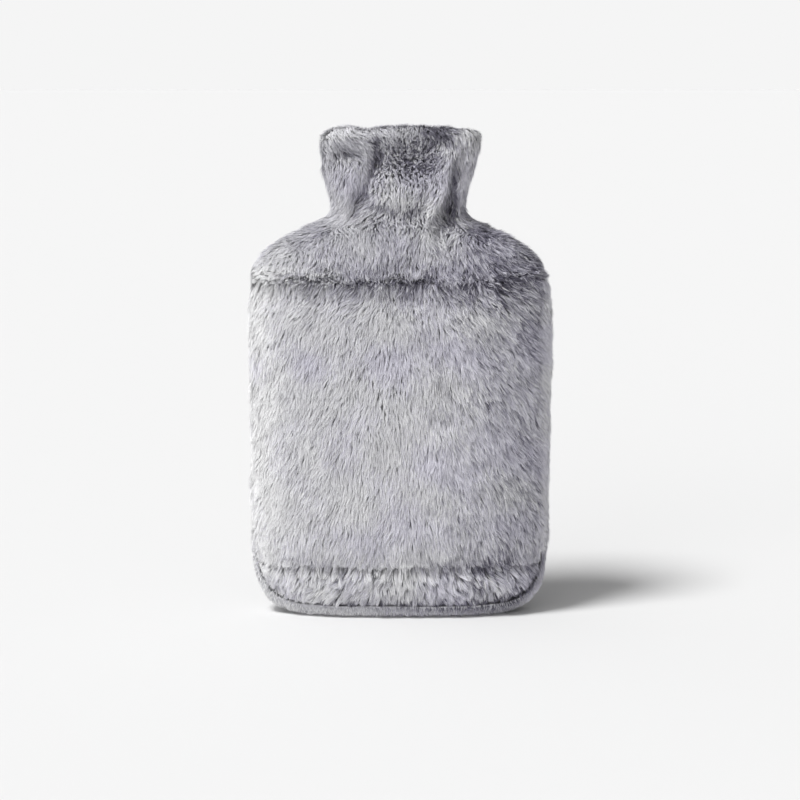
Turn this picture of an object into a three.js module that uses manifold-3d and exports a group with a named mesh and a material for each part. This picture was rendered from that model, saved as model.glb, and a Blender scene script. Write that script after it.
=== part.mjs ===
// A hot water bottle cover of long-pile plush, standing on its base.
//
// The cover is a bag with a waisted neck that flares to an open mouth. It is sewn from five cuts of the
// same plush: one back panel, a front yoke with the front of the neck, a front body panel that tucks up
// under the yoke's hem as an envelope closing, a low foot band, and a bottom gusset that wraps the
// rounded lower corners. Each cut is a wall as thick as its backing and lying pile together.
//
// Millimetres. X runs across the cover, the front faces -Y, Z is up, and the origin is the middle of
// the base.
import * as THREE from "three";
import { mergeVertices } from "three/addons/utils/BufferGeometryUtils.js";
import Module from "manifold-3d";

// ---------------------------------------------------------------- driving dimensions
const COVER_HEIGHT = 338; // floor to the neck's mouth, without the locks that stand up round it
const SEAM_GAP = 0.3; // between neighbouring cuts
const HEM_GAP = 0.85; // measured level, between the yoke and the body panel's sloping end behind it
const BAND_SEAM_HEIGHT = 34; // seam between the foot band and the body panel
const HEM_HEIGHT = 229.5; // the yoke's hem, at the front's middle
const UNDERLAP = 26; // how far the body panel runs up behind the yoke
const UNDERLAP_THICKNESS = 4.5; // its pile lies pressed flat there
const HEM_STAND_OFF = 4.2; // how far the yoke's hem stands proud of the body panel
const HEM_RIDGE_HEIGHT = 13; // height over which the hem's extra thickness fades out
const HEM_REACH = 112; // half the length of the tufted hem line, past both side seams
const BEYOND = 200; // half the size of the blocks that cut the solids

// The outside, as level sections. centre is the section's middle in X, and squareness is the exponent
// of its rounded outline: 2 is an ellipse, and more is squarer.
const OUTSIDE = [
  { z: 0, half_width: 76, half_depth: 22.5, centre: 0, squareness: 2.6 },
  { z: 3, half_width: 84, half_depth: 25.5, centre: 0, squareness: 2.5 },
  { z: 7, half_width: 90.5, half_depth: 27.5, centre: 0, squareness: 2.45 },
  { z: 12, half_width: 95, half_depth: 29, centre: 0, squareness: 2.4 },
  { z: 20, half_width: 99.5, half_depth: 30.5, centre: 0, squareness: 2.35 },
  { z: 32, half_width: 102.3, half_depth: 32, centre: 0, squareness: 2.3 },
  { z: 60, half_width: 104, half_depth: 35, centre: 0, squareness: 2.3 },
  { z: 110, half_width: 104.5, half_depth: 37, centre: 0, squareness: 2.3 },
  { z: 160, half_width: 105, half_depth: 36.5, centre: 0, squareness: 2.3 },
  { z: 205, half_width: 105, half_depth: 34, centre: 0.2, squareness: 2.3 },
  { z: 230, half_width: 103.5, half_depth: 32, centre: 0, squareness: 2.3 },
  { z: 240, half_width: 101, half_depth: 31, centre: -0.8, squareness: 2.3 },
  { z: 250, half_width: 95, half_depth: 30, centre: -1.2, squareness: 2.3 },
  { z: 257, half_width: 86.5, half_depth: 29.2, centre: -1.2, squareness: 2.3 },
  { z: 263, half_width: 76.5, half_depth: 28.2, centre: -1.3, squareness: 2.3 },
  { z: 268, half_width: 65.5, half_depth: 27.2, centre: -1.6, squareness: 2.25 },
  { z: 272, half_width: 55, half_depth: 26.2, centre: -1.8, squareness: 2.25 },
  { z: 277, half_width: 48, half_depth: 25.2, centre: -1.6, squareness: 2.3 },
  { z: 284, half_width: 47.4, half_depth: 24.6, centre: -1.2, squareness: 2.35 },
  { z: 296, half_width: 50, half_depth: 24.2, centre: -1, squareness: 2.4 },
  { z: 310, half_width: 53.5, half_depth: 24, centre: -0.8, squareness: 2.5 },
  { z: 322, half_width: 55.8, half_depth: 23.6, centre: -0.4, squareness: 2.5 },
  { z: 330, half_width: 55.3, half_depth: 22.6, centre: 0, squareness: 2.5 },
  { z: 334.5, half_width: 53, half_depth: 20.8, centre: 0, squareness: 2.5 },
  { z: 338, half_width: 48.5, half_depth: 17.2, centre: 0, squareness: 2.5 },
];

// The pocket inside, which stays open through the neck to the mouth.
const POCKET = [
  { z: 8, half_width: 74, half_depth: 13, centre: 0, squareness: 2.4 },
  { z: 14, half_width: 84, half_depth: 17.5, centre: 0, squareness: 2.4 },
  { z: 24, half_width: 90, half_depth: 20.5, centre: 0, squareness: 2.4 },
  { z: 45, half_width: 93, half_depth: 23.5, centre: 0, squareness: 2.4 },
  { z: 110, half_width: 94.5, half_depth: 26.5, centre: 0, squareness: 2.4 },
  { z: 160, half_width: 95, half_depth: 26, centre: 0, squareness: 2.4 },
  { z: 205, half_width: 94.5, half_depth: 23.5, centre: 0, squareness: 2.4 },
  { z: 228, half_width: 91.5, half_depth: 20.5, centre: 0, squareness: 2.4 },
  { z: 240, half_width: 85, half_depth: 19, centre: -0.5, squareness: 2.4 },
  { z: 249, half_width: 71, half_depth: 17.5, centre: -1, squareness: 2.4 },
  { z: 257, half_width: 50, half_depth: 15.5, centre: -1.2, squareness: 2.4 },
  { z: 266, half_width: 37, half_depth: 14, centre: -1.2, squareness: 2.4 },
  { z: 280, half_width: 35, half_depth: 13, centre: -1.2, squareness: 2.4 },
  { z: 310, half_width: 38.5, half_depth: 12.5, centre: -0.8, squareness: 2.4 },
  { z: 346, half_width: 42, half_depth: 11.5, centre: 0, squareness: 2.4 },
];

// Folds pressed into the front of the neck and the shoulders: a soft trough along the line from
// (x0, z0) to (x1, z1). A negative depth is a ridge.
const NECK_FOLDS = [
  { x0: 42, z0: 311, x1: 37, z1: 288, depth: 6.0, half_width: 4.0 },
  { x0: 37, z0: 288, x1: 28, z1: 266, depth: 7.0, half_width: 4.4 },
  { x0: 36, z0: 315, x1: 29, z1: 290, depth: -2.6, half_width: 5.0 },
  { x0: 29, z0: 290, x1: 18, z1: 265, depth: -2.4, half_width: 5.0 },
  { x0: -46, z0: 317, x1: -28, z1: 317, depth: 3.2, half_width: 3.6 },
  { x0: -14, z0: 326, x1: -15, z1: 312, depth: 3.4, half_width: 3.8 },
  { x0: -15, z0: 312, x1: -27, z1: 288, depth: 4.0, half_width: 4.2 },
  { x0: -27, z0: 288, x1: -33, z1: 274, depth: 2.8, half_width: 4.2 },
  { x0: -46, z0: 328, x1: -24, z1: 325, depth: -2.4, half_width: 5.5 },
  { x0: -21, z0: 280, x1: -3, z1: 277, depth: 2.6, half_width: 3.6 },
  { x0: 5, z0: 277, x1: 16, z1: 281, depth: 2.2, half_width: 3.6 },
  { x0: -86, z0: 257, x1: -60, z1: 262, depth: 1.8, half_width: 4.5 },
  { x0: 46, z0: 266, x1: 66, z1: 258, depth: 2.2, half_width: 4.5 },
];

// Broad hollows and swellings of the front, each an oval bump round (x, z).
const FRONT_SWELLS = [
  { x: 6, z: 318, reach_x: 18, reach_z: 12, depth: 3.6 },
  { x: -36, z: 298, reach_x: 11, reach_z: 13, depth: -1.6 },
  { x: 5, z: 296, reach_x: 17, reach_z: 13, depth: -2.2 },
  { x: -8, z: 332, reach_x: 14, reach_z: 6, depth: -1.2 },
  { x: -60, z: 244, reach_x: 28, reach_z: 9, depth: -1.4 },
  { x: 25, z: 246, reach_x: 30, reach_z: 9, depth: -1.2 },
  { x: -45, z: 150, reach_x: 40, reach_z: 50, depth: -1.0 },
  { x: 78, z: 150, reach_x: 18, reach_z: 60, depth: 1.2 },
  { x: 0, z: 60, reach_x: 60, reach_z: 22, depth: -0.8 },
];

// Dips along the seam between foot band and body panel, where it is drawn in deepest.
const BAND_SEAM_DIPS = [
  { x: -54, reach_x: 15, depth: 2.4 },
  { x: 34, reach_x: 9, depth: 1.6 },
  { x: 60, reach_x: 18, depth: 2.6 },
];

// The mouth's rim is uneven: each lobe raises or lowers it round x.
const RIM_LOBES = [
  { x: -24, reach_x: 6, rise: -2.0 },
  { x: 8, reach_x: 16, rise: 0.9 },
  { x: 40, reach_x: 6, rise: -1.6 },
  { x: -46, reach_x: 9, rise: -0.6 },
];

// Locks of pile that stand free of the cloth, at the hem and round the mouth.
// length is from the hem line or the rim to the tips, and spread is how much it varies.
const HEM_LOCKS = {
  count: 24,
  from_x: -83,
  to_x: 83,
  half_width: 3.3,
  half_thickness: 1.6,
  root_above: 7, // the root's height over the hem line
  root_inside: 3.4, // and its depth in the yoke's pile
  length: 8.5,
  spread: 2.6,
};
const MOUTH_LOCKS = {
  count: 12,
  from_x: -33,
  to_x: 35,
  half_width: 3.8,
  half_thickness: 2.6,
  root_below: 6, // the root's depth under the rim
  from_middle: 16, // the root's distance from the mouth's middle line
  length: 2.4,
  spread: 0.9,
};

// How finely each outside is drawn. Columns go across the side that is kept, and across the other.
const BODY_COLUMNS = 38;
const NECK_COLUMNS = 44;
const BASE_COLUMNS = 30;
const POCKET_COLUMNS = 22;
const CUT_AWAY_COLUMNS = 6;

// Level sections are drawn in even steps of about the given size from each row's z to the next row's.
const UNDERLAP_TOP = HEM_HEIGHT + UNDERLAP;
const GUSSET_LEVELS = [
  { z: 0, step: 1.5 },
  { z: 1.5, step: 2 },
  { z: 9.5, step: 2.5 },
  { z: 12, step: 4 },
  { z: 16, step: 6 },
  { z: 58 },
];
const BAND_LEVELS = [
  { z: 4, step: 2 },
  { z: 10, step: 2.5 },
  { z: 12.5, step: 4.8 },
  { z: 27, step: 2.8 },
  { z: 32.6, step: 4.4 },
  { z: 37 },
];
const BODY_LEVELS = [
  { z: 30, step: 3.7 },
  { z: 41, step: 6 },
  { z: 47, step: 12 },
  { z: 205, step: 3.2 },
  { z: 240, step: 8 },
  { z: UNDERLAP_TOP },
];
const YOKE_LEVELS = [
  { z: 217, step: 4 },
  { z: 245, step: 5.6 },
  { z: 262, step: 3.6 },
  { z: 280, step: 4.2 },
  { z: 330, step: 2.7 },
  { z: COVER_HEIGHT },
];
const BACK_LEVELS = [
  { z: 3, step: 3.2 },
  { z: 16, step: 9 },
  { z: 60, step: 13 },
  { z: 240, step: 5.5 },
  { z: 284, step: 9 },
  { z: 330, step: 4 },
  { z: COVER_HEIGHT },
];
const POCKET_LEVELS = [
  { z: 8, step: 5 },
  { z: 24, step: 34 },
  { z: 225, step: 7 },
  { z: 285, step: 20 },
  { z: 346 },
];

const PLUSH = { color: 0xb4b3bd, roughness: 0.95, metalness: 0 };
const PLUSH_LIGHT = { color: 0xc4c3cb, roughness: 0.95, metalness: 0 };
const PLUSH_SHADE = { color: 0xa7a6b1, roughness: 0.95, metalness: 0 };

// ---------------------------------------------------------------- small helpers
const bell = (distance, reach) => Math.exp(-((distance / reach) ** 2));

// A table's columns at height z, on a smooth curve that never overshoots its rows.
function sectionAt(table, z) {
  const last = table.length - 2;
  let i = 0;
  while (i < last && z > table[i + 1].z) i += 1;
  const slope = (k, column) =>
    k < 0 || k > last
      ? 0
      : (table[k + 1][column] - table[k][column]) / (table[k + 1].z - table[k].z);
  const tangent = (k, column) => {
    const before = slope(k - 1, column);
    const after = slope(k, column);
    return before * after <= 0 ? 0 : (2 * before * after) / (before + after);
  };
  const span = table[i + 1].z - table[i].z;
  const t = THREE.MathUtils.clamp((z - table[i].z) / span, 0, 1);
  const blend = (column) =>
    table[i][column] * (2 * t ** 3 - 3 * t ** 2 + 1) +
    table[i + 1][column] * (3 * t ** 2 - 2 * t ** 3) +
    tangent(i, column) * span * (t ** 3 - 2 * t ** 2 + t) +
    tangent(i + 1, column) * span * (t ** 3 - t ** 2);
  return {
    half_width: blend("half_width"),
    half_depth: blend("half_depth"),
    centre: blend("centre"),
    squareness: blend("squareness"),
  };
}

// The point of a level section at an angle, with its outward direction in plan.
function sectionPoint(table, angle, z) {
  const s = sectionAt(table, z);
  const power = 2 / s.squareness;
  const c = Math.cos(angle);
  const q = Math.sin(angle);
  const u = Math.sign(c) * Math.abs(c) ** power;
  const v = Math.sign(q) * Math.abs(q) ** power;
  const nx = (Math.sign(u) * Math.abs(u) ** (s.squareness - 1)) / s.half_width;
  const ny = (Math.sign(v) * Math.abs(v) ** (s.squareness - 1)) / s.half_depth;
  const length = Math.hypot(nx, ny);
  return {
    x: s.centre + s.half_width * u,
    y: s.half_depth * v,
    nx: nx / length,
    ny: ny / length,
  };
}

// How far a point (x, z) lies from the segment (x0, z0) to (x1, z1).
function distanceToSegment(x, z, { x0, z0, x1, z1 }) {
  const dx = x1 - x0;
  const dz = z1 - z0;
  const along = ((x - x0) * dx + (z - z0) * dz) / (dx * dx + dz * dz);
  const t = THREE.MathUtils.clamp(along, 0, 1);
  return Math.hypot(x - x0 - t * dx, z - z0 - t * dz);
}

// ---------------------------------------------------------------- seam and hem lines
const GUSSET_TIP = { x: 100, z: 46 }; // where the gusset's point ends on each side
const GUSSET_FLOOR = { x: 60, z: 7.5 }; // where its seam turns level along the bottom

// The seam round the gusset, seen from the front, moved inwards by inset.
function gussetLine(inset) {
  const tip = new THREE.Vector2(GUSSET_TIP.x - inset, GUSSET_TIP.z + inset);
  const corner = new THREE.Vector2(GUSSET_TIP.x - 2 - inset, GUSSET_FLOOR.z + inset);
  const floor = new THREE.Vector2(GUSSET_FLOOR.x, GUSSET_FLOOR.z + inset);
  return new THREE.QuadraticBezierCurve(tip, corner, floor).getPoints(10);
}
const SEAM_POINTS = gussetLine(0);
const SEAM_SEGMENTS = SEAM_POINTS.slice(1)
  .map((p, i) => ({ x0: SEAM_POINTS[i].x, z0: SEAM_POINTS[i].y, x1: p.x, z1: p.y }))
  .concat([{ x0: GUSSET_FLOOR.x, z0: GUSSET_FLOOR.z, x1: -GUSSET_FLOOR.x, z1: GUSSET_FLOOR.z }]);
const distanceToGussetSeam = (x, z) =>
  Math.min(...SEAM_SEGMENTS.map((s) => distanceToSegment(Math.abs(x), z, s)));

// The yoke's hem sags a little in the middle and ends higher on the right.
const hemHeight = (x) => HEM_HEIGHT + 2 * (x / 100) + 3 * (x / 100) ** 2;

// Tufts hang past the hem line by an uneven amount.
const hemTuft = (x) => 2.4 + 1.6 * Math.sin(x / 2.9) + Math.sin(x / 7.1);

const rimRise = (x) => RIM_LOBES.reduce((sum, l) => sum + l.rise * bell(x - l.x, l.reach_x), 0);

// ---------------------------------------------------------------- relief of the pile
// Locks of pile lie down the cloth, so the lumps are longer than they are wide.
function pileLumps(x, z, side) {
  const lean = side * 0.25 * (x / 100) * z;
  const a = Math.sin((x - lean) / 2.6 + 1.7 * Math.sin(z / 17 + side));
  const b = Math.sin((x + lean) / 4.3 + z / 21 + 2 * side);
  const c = Math.sin(z / 9.5 + Math.sin(x / 11 + side) * 2);
  return 0.45 * a + 0.4 * b + 0.35 * c;
}

const foldRelief = (x, z) =>
  NECK_FOLDS.reduce((sum, f) => sum - f.depth * bell(distanceToSegment(x, z, f), f.half_width), 0) +
  FRONT_SWELLS.reduce(
    (sum, s) => sum - s.depth * bell((x - s.x) / s.reach_x, 1) * bell((z - s.z) / s.reach_z, 1),
    0,
  );

const bandSeamRelief = (x, z) =>
  -bell(z - BAND_SEAM_HEIGHT, 3.2) *
  (1.3 + BAND_SEAM_DIPS.reduce((sum, d) => sum + d.depth * bell(x - d.x, d.reach_x), 0));

const gussetSeamRelief = (x, z) => -2.6 * bell(distanceToGussetSeam(x, z), 2.4);

// How far the outside stands off its plain section. Folds show on the front alone, and everything fades
// towards the side seams, which are drawn in a little.
function relief(x, z, nx, ny, kind) {
  const facing = THREE.MathUtils.smoothstep(Math.abs(ny), 0.1, 0.75);
  const onFloor = THREE.MathUtils.smoothstep(z, 0, 4);
  const sideSeam = -1.1 * bell(ny, 0.22) * THREE.MathUtils.smoothstep(z, 50, 62);
  let height = (pileLumps(x, z, ny < 0 ? -1 : 1) + sideSeam) * onFloor;
  height += gussetSeamRelief(x, z) * onFloor;
  if (kind === "back") return height;
  height += facing * (foldRelief(x, z) + bandSeamRelief(x, z));
  const overHem = z - hemHeight(x);
  const frontal = THREE.MathUtils.smoothstep(Math.abs(ny), 0.3, 0.95);
  if (kind === "yoke") height += frontal * HEM_STAND_OFF * bell(Math.max(0, overHem), HEM_RIDGE_HEIGHT);
  if (kind === "body") height -= frontal * 2.0 * bell(overHem, 9);
  return height;
}

function outsidePoint(kind) {
  return (angle, z) => {
    const p = sectionPoint(OUTSIDE, angle, z);
    const off = relief(p.x, z, p.nx, p.ny, kind);
    const x = p.x + p.nx * off;
    const nearRim = THREE.MathUtils.smoothstep(z, COVER_HEIGHT - 16, COVER_HEIGHT);
    return [x, p.y + p.ny * off, z + rimRise(x) * nearRim];
  };
}

// The body panel drops from its full pile to the pressed underlap as it passes behind the hem.
function bodyPoint(grow) {
  return (angle, z) => {
    const full = sectionPoint(OUTSIDE, angle, z);
    const off = relief(full.x, z, full.nx, full.ny, "body") + grow;
    const inner = sectionPoint(POCKET, angle, z);
    const behind = THREE.MathUtils.smoothstep(z - hemHeight(full.x), -1, 4);
    const pressed = UNDERLAP_THICKNESS + grow;
    const outer = [full.x + full.nx * off, full.y + full.ny * off];
    const under = [inner.x + inner.nx * pressed, inner.y + inner.ny * pressed];
    return [
      THREE.MathUtils.lerp(outer[0], under[0], behind),
      THREE.MathUtils.lerp(outer[1], under[1], behind),
      z,
    ];
  };
}

// The front surface's y at (x, z), outside the pile.
function frontY(x, z, kind) {
  const s = sectionAt(OUTSIDE, z);
  const across = Math.min(1, Math.abs(x - s.centre) / s.half_width);
  const power = 1 / s.squareness;
  const back = (1 - across ** s.squareness) ** power;
  const nx = across ** (s.squareness - 1) / s.half_width;
  const ny = back ** (s.squareness - 1) / s.half_depth;
  const facing = ny / Math.hypot(nx, ny);
  return -s.half_depth * back - facing * relief(x, z, Math.sqrt(1 - facing ** 2), -facing, kind);
}

// ---------------------------------------------------------------- solids
const wasm = await Module();
wasm.setup();

// A closed three.js geometry as a manifold-3d solid.
function solidOf(geometry) {
  const bare = geometry.clone();
  bare.deleteAttribute("normal");
  bare.deleteAttribute("uv");
  const merged = mergeVertices(bare, 1e-4);
  return new wasm.Manifold(
    new wasm.Mesh({
      numProp: 3,
      vertProperties: merged.attributes.position.array,
      triVerts: new Uint32Array(merged.index.array),
    }),
  );
}

// A closed body through level rings of points, with a flat lid at each end.
function loft(heights, angles, pointAt) {
  const rings = heights.map((z) => angles.map((angle) => pointAt(angle, z)));
  const lid = (ring) => [0, 1, 2].map((k) => ring.reduce((sum, p) => sum + p[k], 0) / ring.length);
  const points = [...rings.flat(), lid(rings[0]), lid(rings.at(-1))];
  const count = angles.length;
  const bottom = points.length - 2;
  const top = points.length - 1;
  const index = [];
  for (let j = 0; j < count; j += 1) {
    const next = (j + 1) % count;
    for (let i = 0; i < heights.length - 1; i += 1) {
      const low = i * count;
      const high = low + count;
      index.push(low + j, low + next, high + next, low + j, high + next, high + j);
    }
    const crown = (heights.length - 1) * count;
    index.push(bottom, next, j, top, crown + j, crown + next);
  }
  return solidOf(
    new THREE.BufferGeometry()
      .setAttribute("position", new THREE.Float32BufferAttribute(points.flat(), 3))
      .setIndex(index),
  );
}

// A four-sided lock that tapers from its root along a bend to its tip.
function lock(root, elbow, tip, halfWidth, halfThickness) {
  const path = new THREE.QuadraticBezierCurve3(
    new THREE.Vector3(...root),
    new THREE.Vector3(...elbow),
    new THREE.Vector3(...tip),
  );
  const geometry = new THREE.ConeGeometry(1, 1, 4, 2);
  const position = geometry.getAttribute("position");
  const depth = halfThickness * Math.sign(root[2] - tip[2]); // keeps the faces turned outwards
  for (let i = 0; i < position.count; i += 1) {
    const centre = path.getPoint(position.getY(i) + 0.5);
    const x = centre.x + position.getX(i) * halfWidth;
    position.setXYZ(i, x, centre.y + position.getZ(i) * depth, centre.z);
  }
  return solidOf(geometry);
}

const joined = (solids) => solids.reduce((sum, solid) => sum.add(solid));

function hemLocks() {
  const { count, from_x, to_x, root_above, root_inside, length, spread } = HEM_LOCKS;
  return Array.from({ length: count }, (_, i) => {
    const x = THREE.MathUtils.lerp(from_x, to_x, i / (count - 1)) + 1.2 * Math.sin(5 * i);
    const hem = hemHeight(x);
    const hang = length + spread * Math.sin(2.3 * i);
    const drift = 0.03 * x + 1.4 * Math.sin(3.1 * i);
    const ridge = frontY(x, hem + 2, "yoke");
    return lock(
      [x, ridge + root_inside, hem + root_above],
      [x + 0.4 * drift, ridge + 2.2, hem - 3],
      [x + drift, frontY(x + drift, hem - hang, "body") - 2, hem - hang],
      HEM_LOCKS.half_width * (1 - 0.2 * Math.sin(4 * i)),
      HEM_LOCKS.half_thickness,
    );
  });
}

// side is -1 for the front of the mouth and 1 for the back.
function mouthLocks(side) {
  const { count, from_x, to_x, root_below, from_middle, length, spread } = MOUTH_LOCKS;
  return Array.from({ length: count }, (_, i) => {
    const x = THREE.MathUtils.lerp(from_x, to_x, i / (count - 1)) + Math.sin(4 * i + side);
    const rim = COVER_HEIGHT + rimRise(x);
    const lean = 2.2 * Math.sin(1.9 * i + side);
    return lock(
      [x, side * from_middle, rim - root_below],
      [x + 0.3 * lean, side * (from_middle + 0.6), rim],
      [x + lean, side * (from_middle - 1.4 + Math.sin(3 * i)), rim + length + spread * Math.sin(2.7 * i)],
      MOUTH_LOCKS.half_width,
      MOUTH_LOCKS.half_thickness,
    );
  });
}

// Numbers from one value up to another, without it, in even steps of about the given size.
function spaced(from, to, step) {
  const count = Math.max(1, Math.round((to - from) / step));
  return Array.from({ length: count }, (_, i) => from + ((to - from) * i) / count);
}

// The heights that a table of levels asks for.
const heightsOf = (table) => [
  ...table.slice(1).flatMap((row, i) => spaced(table[i].z, row.z, table[i].step)),
  table.at(-1).z,
];

// Angles round a section, with many on the side that is kept and few on the other.
function angles(frontCount, backCount) {
  const back = Array.from({ length: backCount }, (_, i) => (Math.PI * i) / backCount);
  const front = Array.from({ length: frontCount }, (_, i) => Math.PI + (Math.PI * i) / frontCount);
  return [...back, ...front];
}

// An outline drawn in X and Z, extruded along Y from y0 to y1.
function prism(outline, y0, y1) {
  const shape = new THREE.Shape(outline);
  const geometry = new THREE.ExtrudeGeometry(shape, { depth: y1 - y0, bevelEnabled: false });
  geometry.rotateX(Math.PI / 2);
  geometry.translate(0, y1, 0);
  return solidOf(geometry);
}

const rectangle = (x0, z0, x1, z1) => [
  new THREE.Vector2(x0, z0),
  new THREE.Vector2(x1, z0),
  new THREE.Vector2(x1, z1),
  new THREE.Vector2(x0, z1),
];

// Everything outside the gusset's seam, as seen from the front.
function gussetRegion(inset) {
  const right = gussetLine(inset);
  const left = right.map((p) => new THREE.Vector2(-p.x, p.y)).reverse();
  const top = GUSSET_TIP.z + inset;
  return prism(
    [
      new THREE.Vector2(-BEYOND, -BEYOND),
      new THREE.Vector2(BEYOND, -BEYOND),
      new THREE.Vector2(BEYOND, top),
      ...right,
      ...left,
      new THREE.Vector2(-BEYOND, top),
    ],
    -BEYOND,
    BEYOND,
  );
}

const FRONT_HALF = [-BEYOND, -SEAM_GAP / 2];
const BACK_HALF = [SEAM_GAP / 2, BEYOND];
const pocket = loft(heightsOf(POCKET_LEVELS), angles(POCKET_COLUMNS, POCKET_COLUMNS), (angle, z) => {
  const p = sectionPoint(POCKET, angle, z);
  return [p.x, p.y, z];
});
const insideGussetSeam = gussetRegion(SEAM_GAP);

function makeGusset() {
  const round = angles(BODY_COLUMNS, BASE_COLUMNS);
  const outside = loft(heightsOf(GUSSET_LEVELS), round, outsidePoint("front"));
  return outside.intersect(gussetRegion(0)).subtract(pocket);
}

function makeFootBand() {
  const round = angles(BODY_COLUMNS, CUT_AWAY_COLUMNS);
  const outside = loft(heightsOf(BAND_LEVELS), round, outsidePoint("front"));
  const kept = prism(rectangle(-BEYOND, 0, BEYOND, BAND_SEAM_HEIGHT - SEAM_GAP / 2), ...FRONT_HALF);
  return outside.intersect(kept).subtract(insideGussetSeam).subtract(pocket);
}

// The body panel's outside with its underlap, or the space that both need when grow is a gap.
function bodyOutside(grow) {
  const heights = [...heightsOf(BODY_LEVELS).slice(0, -1), UNDERLAP_TOP + grow];
  return loft(heights, angles(BODY_COLUMNS, CUT_AWAY_COLUMNS), bodyPoint(grow));
}

function makeBodyPanel() {
  const seam = BAND_SEAM_HEIGHT + SEAM_GAP / 2;
  const kept = prism(rectangle(-BEYOND, seam, BEYOND, 2 * BEYOND), ...FRONT_HALF);
  return bodyOutside(0).intersect(kept).subtract(insideGussetSeam).subtract(pocket);
}

function makeYoke() {
  const round = angles(NECK_COLUMNS, CUT_AWAY_COLUMNS);
  const outside = loft(heightsOf(YOKE_LEVELS), round, outsidePoint("yoke"));
  const tufted = spaced(-HEM_REACH, HEM_REACH, 3.2).map(
    (x) => new THREE.Vector2(x, hemHeight(x) - hemTuft(x)),
  );
  const corners = [
    new THREE.Vector2(BEYOND, tufted.at(-1).y),
    new THREE.Vector2(BEYOND, 2 * BEYOND),
    new THREE.Vector2(-BEYOND, 2 * BEYOND),
    new THREE.Vector2(-BEYOND, tufted[0].y),
  ];
  const kept = prism([...tufted, ...corners], ...FRONT_HALF);
  return joined([outside.intersect(kept), ...hemLocks(), ...mouthLocks(-1)])
    .subtract(bodyOutside(HEM_GAP))
    .subtract(pocket);
}

function makeBackPanel() {
  const round = angles(CUT_AWAY_COLUMNS, BODY_COLUMNS);
  const outside = loft(heightsOf(BACK_LEVELS), round, outsidePoint("back"));
  const kept = prism(rectangle(-BEYOND, 0, BEYOND, 2 * BEYOND), ...BACK_HALF);
  return joined([outside.intersect(kept), ...mouthLocks(1)])
    .subtract(insideGussetSeam)
    .subtract(pocket);
}

// ---------------------------------------------------------------- the group
function meshOf(name, solid, finish) {
  const { vertProperties, triVerts } = solid.getMesh();
  const geometry = new THREE.BufferGeometry()
    .setAttribute("position", new THREE.BufferAttribute(vertProperties, 3))
    .setIndex(new THREE.BufferAttribute(triVerts, 1));
  geometry.computeVertexNormals();
  const mesh = new THREE.Mesh(geometry, new THREE.MeshStandardMaterial(finish));
  mesh.name = name;
  return mesh;
}

const cover = new THREE.Group();
cover.name = "hot_water_bottle_cover";
cover.add(
  meshOf("back_panel", makeBackPanel(), PLUSH),
  meshOf("front_yoke_panel", makeYoke(), PLUSH_SHADE),
  meshOf("front_body_panel", makeBodyPanel(), PLUSH),
  meshOf("front_foot_band", makeFootBand(), PLUSH_LIGHT),
  meshOf("bottom_gusset", makeGusset(), PLUSH_LIGHT),
);

export default cover;
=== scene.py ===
"""Looks of a long-pile plush hot water bottle cover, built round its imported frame.

The pile is geometry: each strand is a thin tapered ribbon that roots in a knitted sheet and leans
along a comb field. Sizes are in millimetres until a mesh is made.
"""

import math

import bpy
import numpy as np
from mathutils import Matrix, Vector
from mathutils.bvhtree import BVHTree
from mathutils.kdtree import KDTree


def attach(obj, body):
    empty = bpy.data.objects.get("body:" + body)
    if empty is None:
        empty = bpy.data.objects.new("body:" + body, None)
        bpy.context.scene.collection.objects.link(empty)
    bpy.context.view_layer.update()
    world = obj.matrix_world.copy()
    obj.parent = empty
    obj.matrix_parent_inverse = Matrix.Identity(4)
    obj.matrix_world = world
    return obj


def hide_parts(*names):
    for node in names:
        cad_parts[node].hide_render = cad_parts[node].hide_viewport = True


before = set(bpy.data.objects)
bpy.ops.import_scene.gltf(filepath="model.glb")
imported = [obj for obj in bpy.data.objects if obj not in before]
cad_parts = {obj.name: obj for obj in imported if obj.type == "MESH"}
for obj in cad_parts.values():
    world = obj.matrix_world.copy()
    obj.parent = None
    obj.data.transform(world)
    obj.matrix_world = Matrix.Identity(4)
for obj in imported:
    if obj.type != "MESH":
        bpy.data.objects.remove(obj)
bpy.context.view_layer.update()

MM = 0.001
UV_MAP = "OFBake"
PILE_DEPTH = 8.0  # from the tips that the CAD's outside stands for down to the knitted backing
LIP_DEPTH = 4.2  # less where the cloth turns over the mouth's rim
BACKING = 1.6  # the knitted backing's thickness
LIP_BACKING = 1.0  # and over the rim

# ---------------------------------------------------------------- seam lines, as in the solids
BAND_SEAM = 34.0
BAND_LINE = 36.5  # where the body's pile ends and the foot band's seems to start
GUSSET_TIP = (100.0, 46.0)  # x and z of the upper end of its seam, at the side
GUSSET_FLOOR = (60.0, 7.5)  # where the seam, level from the middle to here, starts to rise
GUSSET_CORNER = (98.0, 7.5)  # what the seam's curve bends towards
GUSSET_TOP = GUSSET_TIP[1] + 1  # all of the gusset is lower
HEM_MIDDLE = 229.5
HEM_SLOPE, HEM_BOW = 2, 3  # what it rises by at x = 100, along a line and along a parabola


def hem_height(x):
    return HEM_MIDDLE + HEM_SLOPE * (x / 100) + HEM_BOW * (x / 100) ** 2


HEM_LIFTS = [
    # x, how far above the yoke's hem its pile ends
    (-100, 6.0),
    (-47, 6.4),
    (-36, 4.8),
    (-10, 4.0),
    (22, 3.6),
    (32, 0.0),
    (48, 0.0),
    (56, 1.8),
    (100, 1.8),
]


def tips_line(x):
    """The height at which the yoke's pile ends."""
    return hem_height(x) + np.interp(x, *zip(*HEM_LIFTS))


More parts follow.
